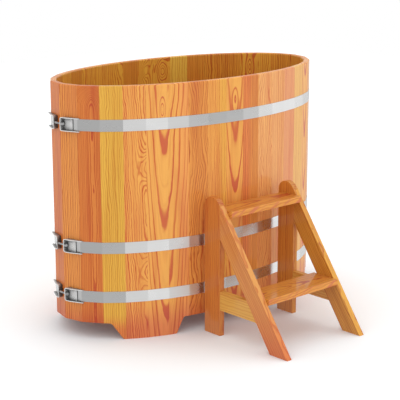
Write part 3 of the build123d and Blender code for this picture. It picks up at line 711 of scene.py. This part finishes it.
for side_name, seed, post_tone, leg_tone, edge_painted_light, foot_tint in SIDE_FRAMES:
    name = f"step_post_{side_name}"
    place = left_face(name)
    place.z = POST_GRAIN_HEIGHT
    wood = larch(name, place, (0, -1, 0), (1, 0, 0), post_tone, "close", seed, gloss=STEP_GLOSS)
    dress(nodes[name], wood)

    name = f"step_leg_{side_name}"
    place = left_face(name)
    lean = Vector((0.0, -math.cos(LEG_LEAN), math.sin(LEG_LEAN)))
    reach = max((v.co - place).dot(lean) for v in nodes[name].data.vertices)
    # Painted light: the leg's front edge is lightened
    front_edge = (0, reach - EDGE_FADE[0], reach - EDGE_FADE[1], edge_painted_light)
    leg_foot = (2, *LEG_FOOT_SPAN, foot_tint)
    wood = larch(name, place, lean, (1, 0, 0), leg_tone, "close", seed + 1, gloss=STEP_GLOSS,
                 tints=[front_edge, leg_foot])
    dress(nodes[name], wood)

    name = f"step_brace_{side_name}"
    place = left_face(name)
    wood = larch(name, place, (0, 0, 1), (1, 0, 0), "brass yellow", "plain", seed + 2, gloss=STEP_GLOSS)
    dress(nodes[name], wood)

for level, seed in (("upper", 91.0), ("lower", 93.0)):
    name = f"step_tread_{level}"
    low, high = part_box(name)
    place = Vector(((low.x + high.x) / 2, (low.y + high.y) / 2, high.z))
    front = low.y - place.y
    edge_span = (front + EDGE_FADE[0], front + EDGE_FADE[1])
    # Painted light: the tread's front edge is lightened; its slanting red bands are grain
    wood = larch(name, place, (0, 1, 0), (0, 0, -1), "toffee", "cathedral", seed, gloss=STEP_GLOSS,
                 tints=[(0, *edge_span, TREAD_EDGE_PAINTED_LIGHT)], flared_span=edge_span)
    dress(nodes[name], wood)

# The dowels: turned beech pins, glued into blind holes in the joints of the step.
# They are hidden once the step is together.
beech, tree, surface = new_material("dowel_beech")
fleck = waves(tree, place_on_object(tree), (90.0, 900.0, 900.0), seed=6.0, detail=3.0)
pale_beech = (0.66, 0.42, 0.24, 1.0)
dark_beech = (0.46, 0.25, 0.12, 1.0)
feed(tree, surface.inputs["Base Color"], blend(tree, ease(tree, fleck, 0.35, 0.7), pale_beech, dark_beech))
feed(tree, surface.inputs["Roughness"], ease(tree, fleck, 0.3, 0.7, 0.55, 0.7))
dress(nodes["step_dowels"], beech)

# The studio: a painted floor that the camera sees as white in the open, with a soft, warm shade near the tub.
# That shade is partly painted shade: to the camera, ambient occlusion darkens the floor's colour near the
# tub, and a camera-only glow, a painted light, is brighter in the open than in the shade.
# To all other rays it is a plain light grey that throws a soft light back on the wood.
bpy.ops.mesh.primitive_plane_add(size=14.0, location=(0.0, 0.0, 0.0))
floor = bpy.context.object
floor.name = "studio_floor"
paint, tree, surface = new_material("studio_floor")
by_camera = tree.nodes.new("ShaderNodeLightPath").outputs["Is Camera Ray"]
surroundings = tree.nodes.new("ShaderNodeAmbientOcclusion")
surroundings.samples = 8
surroundings.inputs["Distance"].default_value = 0.40
openness = surroundings.outputs["AO"]
# Painted shade: the colour the camera sees darkens where ambient occlusion finds the tub near
camera_white_with_painted_shade = grey(tree, ease(tree, openness, 0.30, 0.86, 0.92, 1.0))
feed(tree, surface.inputs["Base Color"], blend(tree, by_camera, (0.8, 0.8, 0.8, 1.0), camera_white_with_painted_shade))
# Painted light: a camera-only glow, stronger on the open floor than in the shade by the tub
painted_glow_in_shade = (0.0, 0.02, 0.035, 1.0)
painted_glow_in_open = (0.07, 0.10, 0.115, 1.0)
painted_glow = blend(tree, ease(tree, openness, 0.62, 0.97), painted_glow_in_shade, painted_glow_in_open)
feed(tree, surface.inputs["Emission Color"], blend(tree, by_camera, (0.0, 0.0, 0.0, 1.0), painted_glow))
surface.inputs["Emission Strength"].default_value = 1.0
surface.inputs["Roughness"].default_value = 0.6
surface.inputs["Specular IOR Level"].default_value = 0.0
dress(floor, paint)
floor.visible_glossy = False

# The light: an even white surround. Only mirror rays see its darker bands, as a room would show in steel
# and varnish, and the camera sees it as plain white.
world = bpy.data.worlds.new("studio")
bpy.context.scene.world = world
world.use_nodes = True
tree = world.node_tree
light = tree.nodes["Background"]
light.inputs["Color"].default_value = (1.0, 1.0, 1.0, 1.0)
light.inputs["Strength"].default_value = 1.06
backdrop = tree.nodes.new("ShaderNodeBackground")
bearing = tree.nodes.new("ShaderNodeTexGradient")
bearing.gradient_type = "RADIAL"
feed(tree, bearing.inputs[0], tree.nodes.new("ShaderNodeTexCoord").outputs["Generated"])
# Round the room: the share of a full turn, and how bright it is there
ROOM = [
    (0.00, 0.52), (0.14, 0.52), (0.196, 0.88), (0.24, 1.08), (0.276, 0.86), (0.306, 0.58), (0.345, 0.52),
    (0.384, 0.64), (0.409, 1.05), (0.44, 1.12), (0.47, 1.1), (0.50, 0.95), (0.56, 0.74), (0.80, 0.9),
    (1.0, 0.52),
]
wall = tree.nodes.new("ShaderNodeValToRGB")
while len(wall.color_ramp.elements) < len(ROOM):
    wall.color_ramp.elements.new(0.5)
for element, (spot, level) in zip(wall.color_ramp.elements, ROOM):
    element.position = spot
    element.color = (level, level, level, 1.0)
feed(tree, wall.inputs[0], bearing.outputs[1])
path = tree.nodes.new("ShaderNodeLightPath").outputs
white = (1.0, 1.0, 1.0, 1.0)
feed(tree, backdrop.inputs["Color"], blend(tree, path["Is Camera Ray"], wall.outputs[0], white))
seen = reckon(tree, "MAXIMUM", path["Is Camera Ray"], path["Is Glossy Ray"])
seen = reckon(tree, "MAXIMUM", seen, path["Is Transmission Ray"])
choice = tree.nodes.new("ShaderNodeMixShader")
feed(tree, choice.inputs[0], seen)
feed(tree, choice.inputs[1], light.outputs[0])
feed(tree, choice.inputs[2], backdrop.outputs[0])
feed(tree, tree.nodes["World Output"].inputs["Surface"], choice.outputs[0])

# The camera: its place, the way it looks and its lens were fitted to the photograph.
# It has no shift and no depth of field.
EYE = (-3.493706, -3.979778, 1.756611)
YAW = math.radians(41.88638)
PITCH = math.radians(13.87469)
ROLL = math.radians(-0.10679)
ahead = Vector((math.sin(YAW) * math.cos(PITCH), math.cos(YAW) * math.cos(PITCH), -math.sin(PITCH)))
level_right = Vector((math.cos(YAW), -math.sin(YAW), 0.0))
level_up = level_right.cross(ahead)
right = level_right * math.cos(ROLL) + level_up * math.sin(ROLL)
up = level_up * math.cos(ROLL) - level_right * math.sin(ROLL)
lens = bpy.data.cameras.new("camera")
lens.sensor_width = 36.0
lens.lens = 114.212
camera = bpy.data.objects.new("camera", lens)
bpy.context.scene.collection.objects.link(camera)
aim = Matrix((right, up, -ahead)).transposed().to_4x4()
camera.matrix_world = Matrix.Translation(EYE) @ aim
bpy.context.scene.camera = camera
bpy.context.scene.view_settings.view_transform = "Standard"
